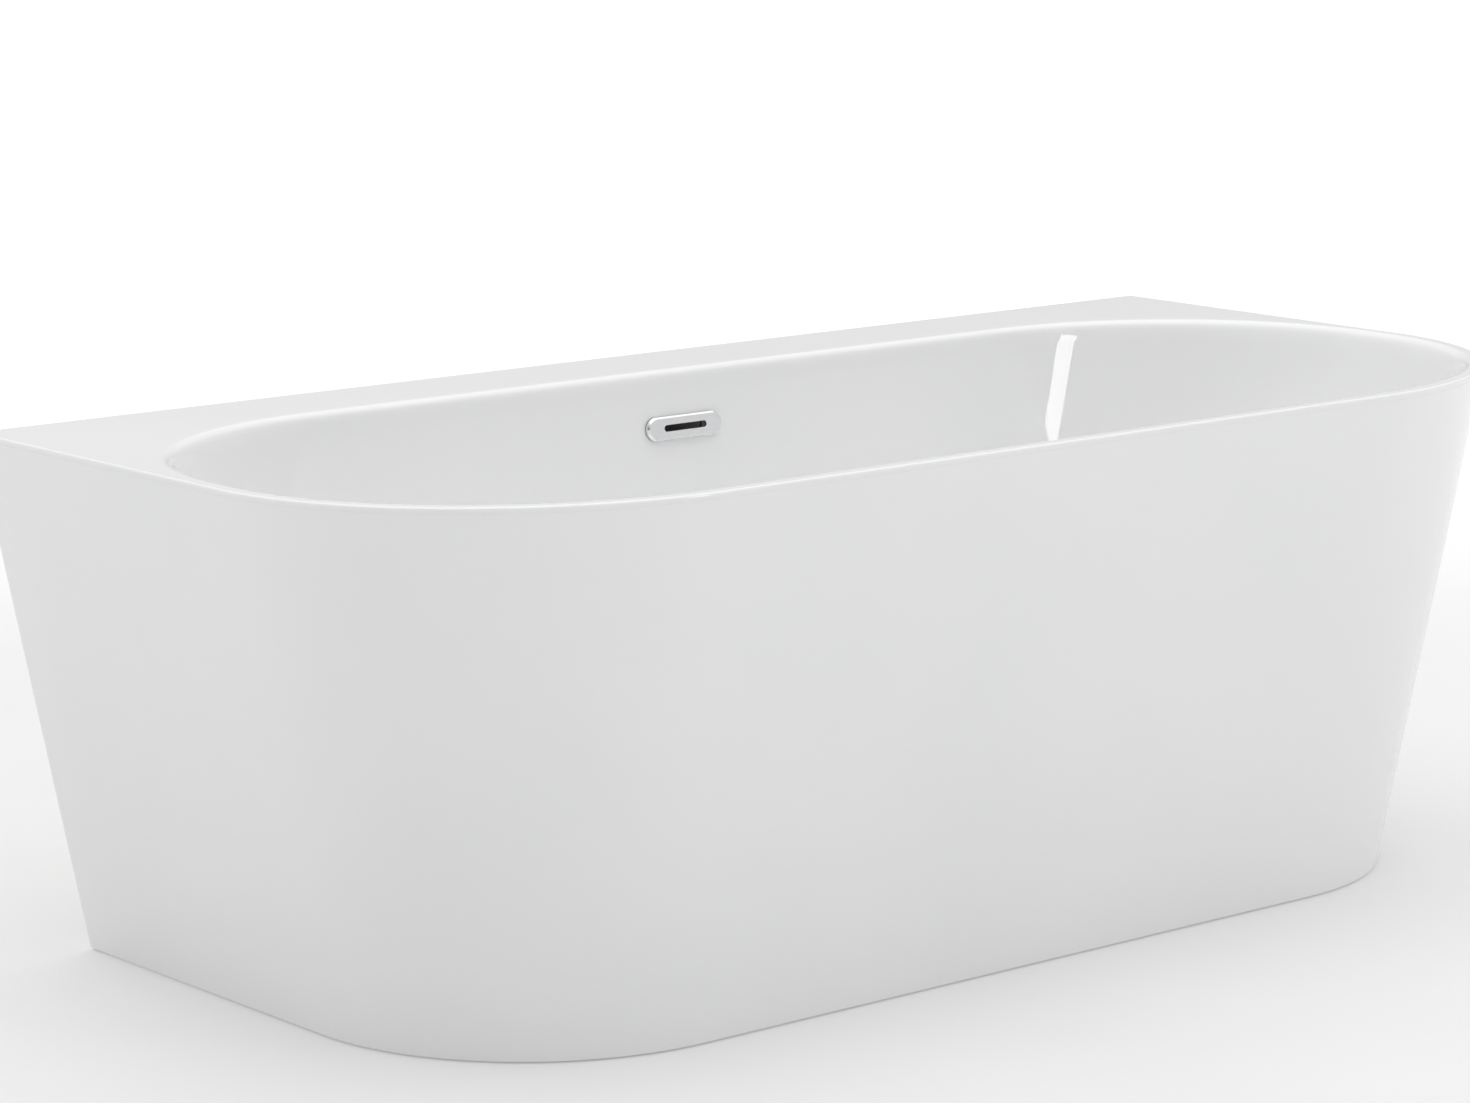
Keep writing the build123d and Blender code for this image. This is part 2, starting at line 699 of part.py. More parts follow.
def waste_body():
    """Moulded cup under the bath, with the overflow's port and a spigot into the trap."""
    x, y = DRAIN
    body = disc(BODY_R, BODY_BOTTOM, BODY_TOP, DRAIN) + disc(SPIGOT_R, SPIGOT_BOTTOM, BODY_BOTTOM, DRAIN)
    body += bar_y(PORT_R, y, PORT_END, x, PORT_Z)
    body -= disc(NECK_R + FIT, NECK_BOTTOM, BODY_TOP + OVERCUT, DRAIN)
    body -= disc(BODY_BORE_R, BODY_BOTTOM + TRAP_WALL, NECK_BOTTOM, DRAIN)
    body -= disc(SPIGOT_BORE_R, SPIGOT_BOTTOM - OVERCUT, BODY_BOTTOM + TRAP_WALL, DRAIN)
    body -= bar_y(PIPE_BORE_R, y, PORT_END, x, PORT_Z)
    return body - bar_y(PIPE_R + FIT, y + PIPE_INSIDE, PORT_END + OVERCUT, x, PORT_Z)


def trap_body():
    """Low drum trap, with the outlet's sleeve towards the wall."""
    x, y = DRAIN
    drum = disc(TRAP_R, TRAP_BOTTOM, TRAP_TOP, DRAIN)
    drum = fillet(drum.edges().group_by(Axis.Z)[0], TRAP_EDGE_R)
    drum += bar_y(SPIGOT_R + TRAP_WALL, y, OUTLET_SLEEVE_END, x, OUTLET_Z)
    drum -= disc(TRAP_R - TRAP_WALL, TRAP_BOTTOM + TRAP_WALL, TRAP_TOP - TRAP_WALL, DRAIN)
    drum -= disc(SPIGOT_R + FIT, TRAP_TOP - TRAP_WALL - OVERCUT, TRAP_TOP + OVERCUT, DRAIN)
    drum -= bar_y(SPIGOT_BORE_R, y, OUTLET_SLEEVE_END, x, OUTLET_Z)
    drum += ring(TRAP_COLLAR[0], SPIGOT_R + FIT, TRAP_TOP, TRAP_TOP + TRAP_COLLAR[1], DRAIN)
    return drum - bar_y(SPIGOT_R + FIT, OUTLET_START, OUTLET_SLEEVE_END + OVERCUT, x, OUTLET_Z)


def outlet_pipe():
    """Pipe from the trap to the wall side, with a collar that stops the socket pushed on to its end."""
    pipe = tube_y(SPIGOT_R, SPIGOT_BORE_R, OUTLET_START, OUTLET_END, DRAIN[0], OUTLET_Z)
    return pipe + tube_y(COLLAR_R, SPIGOT_BORE_R, *COLLAR_Y, DRAIN[0], OUTLET_Z)


def outlet_nut():
    """Hand nut round the outlet pipe, against the trap's sleeve."""
    nut = fluted_nut(SPIGOT_R + NUT_BAND, SPIGOT_R + FIT, 0, OUTLET_NUT_T, (0, 0))
    return Pos(DRAIN[0], OUTLET_SLEEVE_END, OUTLET_Z) * Rot(X=-90) * nut


def trap_nut():
    """Hand nut round the spigot, on the trap's collar."""
    low = TRAP_TOP + TRAP_COLLAR[1]
    return fluted_nut(SPIGOT_R + NUT_BAND, SPIGOT_R + FIT, low, BODY_BOTTOM, DRAIN)


def overflow_port_nut():
    """Hand nut round the overflow pipe at the waste body."""
    nut = fluted_nut(PORT_NUT_R, PIPE_R + FIT, 0, PIPE_NUT_T, (0, 0))
    return Pos(DRAIN[0], PORT_END, PORT_Z) * Rot(X=-90) * nut


# ------------------------------------------------------------------ overflow

def overflow_cover():
    """Chromed oblong cover with a slot, hollow behind."""
    plate = wall_slot(COVER_LENGTH, COVER_WIDTH, FRONT_SEAL[1], COVER_T)
    front = plate.faces().sort_by(SortBy.AREA)[-2:]
    outer = max(front, key=lambda face: -face.center().Y)
    plate = chamfer(outer.edges(), COVER_BEVEL)
    plate -= wall_slot(COVER_LENGTH - 2 * COVER_SKIN, COVER_WIDTH - 2 * COVER_SKIN, 0, COVER_T - COVER_SKIN)
    return plate - wall_slot(SLOT_LENGTH, SLOT_WIDTH, 0, COVER_T + OVERCUT)


def overflow_front_seal():
    """Soft ring between the cover and the basin wall."""
    inner = [size - 2 * FRONT_SEAL_BAND for size in (COVER_LENGTH, COVER_WIDTH)]
    return wall_slot(COVER_LENGTH, COVER_WIDTH, *FRONT_SEAL) - wall_slot(*inner, 0, COVER_T)


def overflow_clip_plate():
    """Plate that the cover clips on to, screwed through the wall."""
    length, width, thickness = CLIP_PLATE
    plate = wall_slot(length, width, FRONT_SEAL[0], thickness) - wall_slot(*CLIP_PLATE_HOLE, 0, COVER_T)
    return plate - wall_screw_holes(SCREW_HOLE_R)


def overflow_back_seal():
    """Rubber ring between the laminate and the housing."""
    edge = wall_slot(HOUSING_LENGTH, HOUSING_WIDTH, SEAL_FACE, -BEHIND_WALL)
    return edge - wall_slot(THROAT_LENGTH, THROAT_WIDTH, -WALL_REACH, 0) - wall_screw_holes(SCREW_HOLE_R)


def overflow_housing():
    """Chamber behind the wall, with a nipple down to the overflow pipe."""
    at = (DRAIN[0], PIPE_Y)
    low = PIPE_TOP - PIPE_SOCKET
    back = SEAL_FACE - CHAMBER_DEPTH
    inside = (THROAT_LENGTH, THROAT_WIDTH + 2 * HOUSING_WALL)
    outside = [size + 2 * HOUSING_WALL for size in inside]
    housing = wall_slot(HOUSING_LENGTH, HOUSING_WIDTH, SEAL_FACE - HOUSING_FLANGE_T, SEAL_FACE)
    housing += wall_slot(*outside, back, SEAL_FACE) + disc(PIPE_R + SOCKET_WALL, low, OVERFLOW_Z, at)
    housing -= wall_slot(*inside, back + HOUSING_WALL, SEAL_FACE + OVERCUT)
    housing -= disc(PIPE_BORE_R, low - OVERCUT, OVERFLOW_Z, at)
    housing -= disc(PIPE_R + FIT, low - OVERCUT, PIPE_TOP, at)
    return housing - wall_screw_holes(SCREW_R + FIT)


def overflow_screws():
    """Two screws from the clip plate into the housing."""
    screws = []
    for x in (-OVERFLOW_SCREW_X, OVERFLOW_SCREW_X):
        length = CLIP_PLATE[2] + BEHIND_WALL + OVERFLOW_SCREW_BITE
        shank = extrude(Circle(SCREW_R), length)
        head = Pos(0, 0, length) * extrude(Circle(OVERFLOW_SCREW_HEAD[0]), OVERFLOW_SCREW_HEAD[1])
        screws.append(OVERFLOW_PLANE * Pos(x, 0, CLIP_PLATE[2] - length) * (shank + head))
    return Compound(screws)


def overflow_pipe():
    """Plastic pipe down the back of the bath and forward to the waste body."""
    x, y = DRAIN
    corners = [(x, PIPE_Y, PIPE_TOP), (x, PIPE_Y, PORT_Z), (x, y + PIPE_INSIDE, PORT_Z)]
    route = FilletPolyline(*corners, radius=PIPE_BEND_R)
    start = Plane(origin=(x, PIPE_Y, PIPE_TOP), z_dir=(0, 0, -1))
    pipe = sweep(start * Circle(PIPE_R), path=route)
    return pipe - sweep(start * Circle(PIPE_BORE_R), path=route)


def overflow_pipe_nut():
    """Hand nut round the overflow pipe under the housing."""
    high = PIPE_TOP - PIPE_SOCKET
    return fluted_nut(PIPE_NUT_R, PIPE_R + FIT, high - PIPE_NUT_T, high, (DRAIN[0], PIPE_Y))


# ------------------------------------------------------------------ all nodes

def all_parts():
    """Every node by name."""
    parts = {
        "basin_shell": basin_shell(),
        "basin_laminate": basin_laminate(),
        "outer_skirt": outer_skirt(),
        "rim_bond": rim_bond(),
        "floor_board": floor_board(),
        "front_rail": rail(FRONT_RAIL_HALF, FRONT_RAIL_Y),
        "rear_rail": rail(REAR_RAIL_HALF, REAR_RAIL_Y),
        "upright_pads": upright_pads(),
        "board_screws": board_screws(),
        "skirt_brackets": skirt_brackets(),
        "bracket_screws": bracket_screws(),
        "weld_nuts": weld_nuts(),
        "lock_nuts": lock_nuts(),
        "waste_flange": waste_flange(),
        "flange_seal": flange_seal(),
        "body_seal": body_seal(),
        "plug_barrel": plug_barrel(),
        "plug_cap": plug_cap(),
        "plug_pin": plug_pin(),
        "plug_seal": plug_seal(),
        "plug_spring": plug_spring(),
        "waste_body": waste_body(),
        "trap_body": trap_body(),
        "trap_nut": trap_nut(),
        "outlet_pipe": outlet_pipe(),
        "outlet_nut": outlet_nut(),
        "overflow_cover": overflow_cover(),
        "overflow_front_seal": overflow_front_seal(),
        "overflow_clip_plate": overflow_clip_plate(),
        "overflow_screws": overflow_screws(),
        "overflow_back_seal": overflow_back_seal(),
        "overflow_housing": overflow_housing(),
        "overflow_pipe": overflow_pipe(),
        "overflow_pipe_nut": overflow_pipe_nut(),
        "overflow_port_nut": overflow_port_nut(),
    }
    for name, x in CROSSBAR_X.items():
        parts[f"crossbar_{name}"] = crossbar(x)
        parts[f"upright_{name}"] = upright(x)
    for name, place in FOOT_PLACES.items():
        parts[f"foot_pad_{name}"] = foot_pad(place)
        parts[f"foot_rod_{name}"] = foot_rod(place)
    return parts


os.makedirs("parts", exist_ok=True)
for node, shape in all_parts().items():
    export_step(shape, f"parts/{node}.step")
    print(node)
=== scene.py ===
import bpy
import json
import math
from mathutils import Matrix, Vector


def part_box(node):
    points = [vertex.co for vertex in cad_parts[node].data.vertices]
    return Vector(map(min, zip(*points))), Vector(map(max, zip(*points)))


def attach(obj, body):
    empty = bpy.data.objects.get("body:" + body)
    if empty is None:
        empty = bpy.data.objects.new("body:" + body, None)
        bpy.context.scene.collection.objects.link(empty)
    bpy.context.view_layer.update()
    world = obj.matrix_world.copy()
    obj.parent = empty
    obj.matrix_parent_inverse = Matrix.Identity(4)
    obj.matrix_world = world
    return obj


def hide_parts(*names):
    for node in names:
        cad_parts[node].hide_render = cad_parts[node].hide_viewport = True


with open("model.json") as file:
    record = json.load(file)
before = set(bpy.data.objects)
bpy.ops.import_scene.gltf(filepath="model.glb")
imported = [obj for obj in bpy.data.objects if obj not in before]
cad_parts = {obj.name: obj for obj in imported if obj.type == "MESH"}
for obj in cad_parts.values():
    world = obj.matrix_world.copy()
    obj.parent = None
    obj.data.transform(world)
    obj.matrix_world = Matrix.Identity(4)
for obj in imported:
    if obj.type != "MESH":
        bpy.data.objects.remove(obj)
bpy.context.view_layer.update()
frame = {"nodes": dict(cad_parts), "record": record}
SCENE = bpy.context.scene

# ------------------------------------------------------------------ sizes, in metres
LENGTH, WIDTH, HEIGHT = 1.700, 0.780, 0.580
WALL_Y = WIDTH / 2
END_DRAFT, FRONT_DRAFT = 0.126, 0.074
RIM_CORNER = (0.376, 0.327)
FOOT_CORNER = (0.279, 0.271)
DECK_T = 0.006
RIM_WIDTH = 0.014
RIM_EDGE_R = 0.003
DRAFT_EASE = 1.024
ROLL_R = 0.010
BACK_DECK = 0.115
LIP_HALF, LIP_DROP, LIP_T = 0.785, 0.034, 0.005
OPENING_BACK_CORNER = (0.330, 0.300)
BASIN_DEPTH = 0.428
ACRYLIC_T = 0.004
END_SLOPE, SIDE_SLOPE = 0.235, 0.070
END_EASE, SIDE_EASE = 0.25, 0.40
FLOOR_R = 0.085
FLOOR_CORNER = (0.250, 0.190)
SKIRT_T = 0.005
SKIRT_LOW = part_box("outer_skirt")[0].z
SKIRT_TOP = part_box("outer_skirt")[1].z
DECK_UNDER = HEIGHT - DECK_T
RETURN_WIDTH = 0.040
BASIN_FLOOR = HEIGHT - BASIN_DEPTH
DRAIN_LOW, DRAIN_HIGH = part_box("waste_flange")
DRAIN = ((DRAIN_LOW.x + DRAIN_HIGH.x) / 2, (DRAIN_LOW.y + DRAIN_HIGH.y) / 2)
RECESS_R, RECESS_DEPTH, FLOOR_HOLE_R, BOSS_R = 0.038, 0.0025, 0.023, 0.043
OVERFLOW_DEPTH = 0.065
THROAT = (0.070, 0.015)

# ------------------------------------------------------------------ mesh detail
ARC_STEPS = 48
FRONT_STEPS = 24
SIDE_STEPS = 4
BACK_STEPS = 12
THROAT_STEPS = 4


def lerp(low, high, share):
    """Value a given share of the way from low to high."""
    return low + (high - low) * share


def eased(share, ease):
    """Wall run against depth: a straight slope that steepens towards the floor."""
    return (1 - ease) * share + ease * share**2


def quarter(centre, radii, start):
    """Points of a quarter ellipse, without its last point."""
    turns = [math.radians(start + 90 * i / ARC_STEPS) for i in range(ARC_STEPS)]
    return [(centre[0] + radii[0] * math.cos(t), centre[1] + radii[1] * math.sin(t)) for t in turns]


def run(start, end, steps):
    """Points of a straight run, without its last point."""
    return [(lerp(start[0], end[0], i / steps), lerp(start[1], end[1], i / steps)) for i in range(steps)]


def back_run(half, y):
    """The back line from +X to -X, with columns of points at the ends of the overflow's throat."""
    throat = THROAT[0] / 2
    return (
        run((half, y), (throat, y), BACK_STEPS)
        + run((throat, y), (-throat, y), THROAT_STEPS)
        + run((-throat, y), (-half, y), BACK_STEPS)
    )


def opening_ring(z, end_inset, side_inset, front_corner, back_corner):
    """Closed outline of the basin at height z, anticlockwise from the left front corner."""
    half = LENGTH / 2 - RIM_WIDTH - end_inset
    front = -WIDTH / 2 + RIM_WIDTH + side_inset
    back = WALL_Y - BACK_DECK - side_inset
    fx, fy = front_corner
    bx, by = back_corner
    flat = (
        quarter((fx - half, front + fy), (fx, fy), 180)
        + run((fx - half, front), (half - fx, front), FRONT_STEPS)
        + quarter((half - fx, front + fy), (fx, fy), 270)
        + run((half, front + fy), (half, back - by), SIDE_STEPS)
        + quarter((half - bx, back - by), (bx, by), 0)
        + back_run(half - bx, back)
        + quarter((bx - half, back - by), (bx, by), 90)
        + run((-half, back - by), (-half, front + fy), SIDE_STEPS)
    )
    return [(x, y, z) for x, y in flat]


def basin_ring(share, floor_angle, grow):
    """Basin outline at a share of the depth, drawn in by the floor radius, grown by grow."""
    turn_in = FLOOR_R * (1 - math.cos(floor_angle)) - grow
    rim_front = [size - RIM_WIDTH - ROLL_R for size in RIM_CORNER]
    rim_back = [size - ROLL_R for size in OPENING_BACK_CORNER]
    return opening_ring(
        HEIGHT - share * (BASIN_DEPTH + grow),
        ROLL_R + END_SLOPE * eased(share, END_EASE) + turn_in,
        ROLL_R + SIDE_SLOPE * eased(share, SIDE_EASE) + turn_in,
        [lerp(a, b, share) - turn_in for a, b in zip(rim_front, FLOOR_CORNER)],
        [lerp(a, b, share) - turn_in for a, b in zip(rim_back, FLOOR_CORNER)],
    )


def outside_sizes(z, inset):
    """Half length, front Y and corner radii of the drafted outside at height z."""
    share = z / HEIGHT
    half = LENGTH / 2 - END_DRAFT * (1 - share) - inset
    front = -WIDTH / 2 + FRONT_DRAFT * (1 - share) + inset
    rx = lerp(FOOT_CORNER[0], RIM_CORNER[0], share) - inset
    ry = lerp(FOOT_CORNER[1], RIM_CORNER[1], share) - inset
    return half, front, rx, ry


def deck_ring(z, inset, outline_z=None):
    """Square-backed outline with as many points as an opening ring, and in the same order."""
    half, front, rx, ry = outside_sizes(outline_z or z, inset)
    back = WALL_Y - inset
    side = WALL_Y - BACK_DECK - OPENING_BACK_CORNER[1]
    reach = LENGTH / 2 - RIM_WIDTH - OPENING_BACK_CORNER[0]
    half_arc = ARC_STEPS // 2
    flat = (
        quarter((rx - half, front + ry), (rx, ry), 180)
        + run((rx - half, front), (half - rx, front), FRONT_STEPS)
        + quarter((half - rx, front + ry), (rx, ry), 270)
        + run((half, front + ry), (half, side), SIDE_STEPS)
        + run((half, side), (half, back), half_arc)
        + run((half, back), (reach, back), half_arc)
        + back_run(reach, back)
        + run((-reach, back), (-half, back), half_arc)
        + run((-half, back), (-half, side), half_arc)
        + run((-half, side), (-half, front + ry), SIDE_STEPS)
    )
    return [(x, y, z) for x, y in flat]


def circle_like(ring, radius, z):
    """Circle round the drain whose points lie on the same rays as those of a ring."""
    points = []
    for x, y, _ in ring:
        turn = math.atan2(y - DRAIN[1], x - DRAIN[0])
        points.append((DRAIN[0] + radius * math.cos(turn), DRAIN[1] + radius * math.sin(turn), z))
    return points


def between(ring_a, ring_b, share):
    """Ring a given share of the way from one ring to another."""
    return [tuple(lerp(a, b, share) for a, b in zip(p, q)) for p, q in zip(ring_a, ring_b)]


# ------------------------------------------------------------------ mesh helpers

def make_object(name, points, faces, sharp=30):
    """Mesh object with smooth shading that breaks at edges sharper than sharp degrees."""
    mesh = bpy.data.meshes.new(name)
    mesh.from_pydata([tuple(p) for p in points], [], faces)
    mesh.validate()
    mesh.shade_smooth()
    mesh.set_sharp_from_angle(angle=math.radians(sharp))
    piece = bpy.data.objects.new(name, mesh)
    SCENE.collection.objects.link(piece)
    return piece


def ring_faces(rows, count, closed_rows, skip=()):
    """Quads between rows of count points, each row a closed loop."""
    faces = []
    for row in range(rows if closed_rows else rows - 1):
        after = (row + 1) % rows
        for column in range(count):
            if (row, column) in skip:
                continue
            side = (column + 1) % count
            faces.append(
                (row * count + column, row * count + side, after * count + side, after * count + column)
            )
    return faces


def finish_piece(piece, body, slot, material, *nodes):
    """Gives a piece its body and material, and hides the CAD nodes that it stands for."""
    piece.data.materials.append(material)
    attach(piece, body)
    if nodes:
        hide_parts(*nodes)
    return piece


# ------------------------------------------------------------------ basin

WALL_STEPS = 22
FLOOR_RADIUS_STEPS = 14
ROLL_STEPS = 10
EDGE_STEPS = 5
LIP_ARC_STEPS = 5
LIP_STEPS = 8
SUPPORT = 0.0006


def basin_profile(grow):
    """Rings down the wall and round the floor radius, from just under the rim to the floor."""
    wall_share = 1 - FLOOR_R / BASIN_DEPTH
    hole = [(OVERFLOW_DEPTH + side * THROAT[1] / 2) / BASIN_DEPTH for side in (-1, 1)]
    start = ROLL_R / BASIN_DEPTH
    shares = [lerp(start, wall_share, i / WALL_STEPS) for i in range(WALL_STEPS)]
    shares = [s for s in shares if min(abs(s - h) for h in hole) > 0.4 / WALL_STEPS * wall_share]
    shares = sorted(shares + hole)
    rings = [basin_ring(share, 0, grow) for share in shares]
    for step in range(FLOOR_RADIUS_STEPS + 1):
        angle = math.pi / 2 * step / FLOOR_RADIUS_STEPS
        rings.append(basin_ring(1 - FLOOR_R * (1 - math.sin(angle)) / BASIN_DEPTH, angle, grow))
    return rings, [shares.index(h) for h in hole]


def roll_rings():
    """Rings of the rolled rim, from the deck to the top of the wall."""
    rings = []
    lean = END_SLOPE * eased(ROLL_R / BASIN_DEPTH, END_EASE) / ROLL_R
    front_corner = [size - RIM_WIDTH - ROLL_R for size in RIM_CORNER]
    back_corner = [size - ROLL_R for size in OPENING_BACK_CORNER]
    for step in range(ROLL_STEPS):
        angle = (math.pi / 2 - math.atan(lean)) * step / ROLL_STEPS
        out = ROLL_R * (1 - math.sin(angle))
        drop = ROLL_R * (1 - math.cos(angle))
        share = drop / BASIN_DEPTH
        rings.append(
            opening_ring(
                HEIGHT - drop,
                ROLL_R - out + END_SLOPE * eased(share, END_EASE),
                ROLL_R - out + SIDE_SLOPE * eased(share, SIDE_EASE),
                [lerp(size, low, share) + out for size, low in zip(front_corner, FLOOR_CORNER)],
                [lerp(size, low, share) + out for size, low in zip(back_corner, FLOOR_CORNER)],
            )
        )
    return rings


def make_basin():
    """Acrylic bath in one closed skin: deck, rolled rim, walls, floor and the hole for the waste."""
    mouth, *roll = roll_rings()
    inside, hole_rows = basin_profile(0)
    outside, _ = basin_profile(ACRYLIC_T)
    rings = [deck_ring(DECK_UNDER, 0), deck_ring(HEIGHT - RIM_EDGE_R - SUPPORT, 0)]
    for step in range(EDGE_STEPS + 1):
        angle = math.pi / 2 * (1 - step / EDGE_STEPS)
        drop = RIM_EDGE_R * (1 - math.cos(angle))
        inset = RIM_EDGE_R * (DRAFT_EASE - math.sin(angle))
        rings.append(deck_ring(HEIGHT - drop, inset, HEIGHT - RIM_EDGE_R))
    edge = rings[-1]
    wide = deck_ring(HEIGHT, RIM_EDGE_R + SUPPORT)
    rings += [wide, between(mouth, wide, 0.5), between(mouth, wide, 0.08), mouth]
    rings += roll
    first_inside = len(rings)
    rings += inside
    floor = inside[-1]
    rings += [between(floor, circle_like(floor, RECESS_R, BASIN_FLOOR), share) for share in (0.02, 0.5)]
    for radius, drop in (
        (RECESS_R + 0.0020, 0),
        (RECESS_R + 0.0015, 0),
        (RECESS_R + 0.0004, 0.0004),
        (RECESS_R, 0.0012),
        (RECESS_R, RECESS_DEPTH),
        (FLOOR_HOLE_R, RECESS_DEPTH),
        (FLOOR_HOLE_R, RECESS_DEPTH + ACRYLIC_T),
        (BOSS_R, RECESS_DEPTH + ACRYLIC_T),
        (BOSS_R, ACRYLIC_T),
    ):
        rings.append(circle_like(floor, radius, BASIN_FLOOR - drop))
    first_outside = len(rings)
    rings += outside[::-1]
    under = [(x, y, DECK_UNDER) for x, y, _ in outside[0]]
    rings.append(under)
    count = len(edge)
    start = 2 * ARC_STEPS + FRONT_STEPS + SIDE_STEPS + ARC_STEPS + BACK_STEPS
    columns = range(start, start + THROAT_STEPS)
    top, low = hole_rows
    inner_rows = range(first_inside + top, first_inside + low)
    last = first_outside + len(outside) - 1
    outer_rows = range(last - low, last - top)
    skip = {(row, column) for row in [*inner_rows, *outer_rows] for column in columns}
    faces = ring_faces(len(rings), count, True, skip)
    faces += throat_faces(count, start, (first_inside + top, first_inside + low), (last - top, last - low))
    points = [point for ring in rings for point in ring]
    return make_object("bath_basin", points, faces)


def throat_faces(count, start, inner, outer):
    """Walls of the overflow's throat, between its edge on the inside skin and on the outside skin."""
    def loop(rows):
        high, low = rows
        step = 1 if low > high else -1
        down = [row * count + start + THROAT_STEPS for row in range(high, low, step)]
        along = [low * count + start + THROAT_STEPS - i for i in range(THROAT_STEPS)]
        up = [row * count + start for row in range(low, high, -step)]
        back = [high * count + start + i for i in range(THROAT_STEPS)]
        return down + along + up + back
    a, b = loop(inner), loop(outer)
    size = len(a)
    return [(a[i], b[i], b[(i + 1) % size], a[(i + 1) % size]) for i in range(size)]


def make_rear_lip():
    """Down-turned lip that stiffens the back edge of the deck."""
    z_span = (DECK_UNDER - LIP_DROP, DECK_UNDER + DECK_T / 4)
    return rounded_bar("deck_lip", (-LIP_HALF, LIP_HALF), (WALL_Y - LIP_T, WALL_Y), z_span)


def rounded_bar(name, x_span, y_span, z_span):
    """Long bar along X with its lower edges rounded."""
    radius = LIP_T * 0.3
    outline = []
    for y, start in ((y_span[1] - radius, 0), (y_span[0] + radius, -90)):
        for step in range(LIP_ARC_STEPS + 1):
            turn = math.radians(start - 90 * step / LIP_ARC_STEPS)
            outline.append((y + radius * math.cos(turn), z_span[0] + radius + radius * math.sin(turn)))
    outline = [(y_span[1], z_span[1])] + outline + [(y_span[0], z_span[1])]
    count = len(outline)
    stations = [lerp(x_span[0], x_span[1], i / LIP_STEPS) for i in range(LIP_STEPS + 1)]
    points = [(x, y, z) for x in stations for y, z in outline]
    faces = ring_faces(len(stations), count, False)
    faces += [tuple(range(count))[::-1], tuple(range(len(points) - count, len(points)))]
    return make_object(name, points, faces)


# ------------------------------------------------------------------ threaded rods

THREAD_PITCH = 0.00175
THREAD_DEPTH = 0.00092
THREAD_SIDES = 24
THREAD_ROWS_PER_TURN = 8
THREAD_ROOT, THREAD_FLANK = 0.20, 0.62
ROD_CHAMFER = 0.0012


def thread_height(phase):
    """Height of the thread's flank, from root 0 to crest 1, at a share of one pitch."""
    ridge = 1 - abs(2 * (phase % 1) - 1)
    return min(max((ridge - THREAD_ROOT) / THREAD_FLANK, 0), 1)


def make_rod(name, node):
    """Right-hand threaded rod with chamfered ends."""
    low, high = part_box(node)
    centre = ((low.x + high.x) / 2, (low.y + high.y) / 2)
    radius = (high.x - low.x) / 2
    rows = math.ceil((high.z - low.z) / THREAD_PITCH * THREAD_ROWS_PER_TURN)
    points = []
    for row in range(rows + 1):
        z = lerp(low.z, high.z, row / rows)
        room = radius - max(0, ROD_CHAMFER - min(z - low.z, high.z - z))
        for side in range(THREAD_SIDES):
            turn = math.tau * side / THREAD_SIDES
            height = thread_height(z / THREAD_PITCH - side / THREAD_SIDES)
            reach = min(radius - THREAD_DEPTH * (1 - height), room)
            points.append((centre[0] + reach * math.cos(turn), centre[1] + reach * math.sin(turn), z))
    faces = ring_faces(rows + 1, THREAD_SIDES, False)
    last = rows * THREAD_SIDES
    faces += [tuple(range(THREAD_SIDES))[::-1], tuple(range(last, last + THREAD_SIDES))]
    return make_object(name, points, faces, 50)


# ------------------------------------------------------------------ skirt

CORNER_R = 0.003
CORNER_STEPS = 4


def skirt_path(z, inset, corner):
    """Open path from the left return, round the ends and the front, to the right return."""
    half, front, rx, ry = outside_sizes(z, inset)
    back = WALL_Y - inset
    returned = LENGTH / 2 - END_DRAFT * (1 - z / HEIGHT) - SKIRT_T - RETURN_WIDTH
    bend = [
        (
            -half + corner * (1 - math.sin(math.pi / 2 * i / CORNER_STEPS)),
            back - corner * (1 - math.cos(math.pi / 2 * i / CORNER_STEPS)),
        )
        for i in range(CORNER_STEPS + 1)
    ]
    left = [(-returned, back)] + bend + run((-half, back - corner), (-half, front + ry), 6)[1:]
    left += quarter((rx - half, front + ry), (rx, ry), 180)
    middle = run((rx - half, front), (half - rx, front), FRONT_STEPS) + [(half - rx, front)]
    right = [(-x, y) for x, y in left[::-1]]
    return [(x, y, z) for x, y in left + middle + right]


def closed_wall(name, levels, path_out, path_in):
    """Wall between two paths at each level, closed at its top, foot and both ends."""
    rings = [path_out(z) + path_in(z)[::-1] for z in levels]
    count = len(rings[0])
    faces = ring_faces(len(rings), count, False)
    for row, flip in ((0, True), (len(rings) - 1, False)):
        for i in range(count // 2 - 1):
            face = [row * count + k for k in (i, i + 1, count - 2 - i, count - 1 - i)]
            faces.append(tuple(face[::-1] if flip else face))
    return make_object(name, [point for ring in rings for point in ring], faces)


def make_skirt():
    """Apron with a softened foot and a return at each back edge."""
    soften = 0.001
    levels = [SKIRT_LOW, SKIRT_LOW + soften] + [lerp(SKIRT_LOW, SKIRT_TOP, i / 10) for i in range(1, 11)]
    return closed_wall(
        "bath_skirt",
        levels,
        lambda z: skirt_path(z, soften if z == SKIRT_LOW else 0, CORNER_R),
        lambda z: skirt_path(z, SKIRT_T, soften),
    )


def make_bond():
    """Bead between the deck and the skirt, a hair back from both."""
    hair = 0.0002
    return closed_wall(
        "rim_seam",
        [SKIRT_TOP, DECK_UNDER],
        lambda z: skirt_path(z, hair, CORNER_R),
        lambda z: skirt_path(z, SKIRT_T, CORNER_R / 3),
    )


# ------------------------------------------------------------------ materials

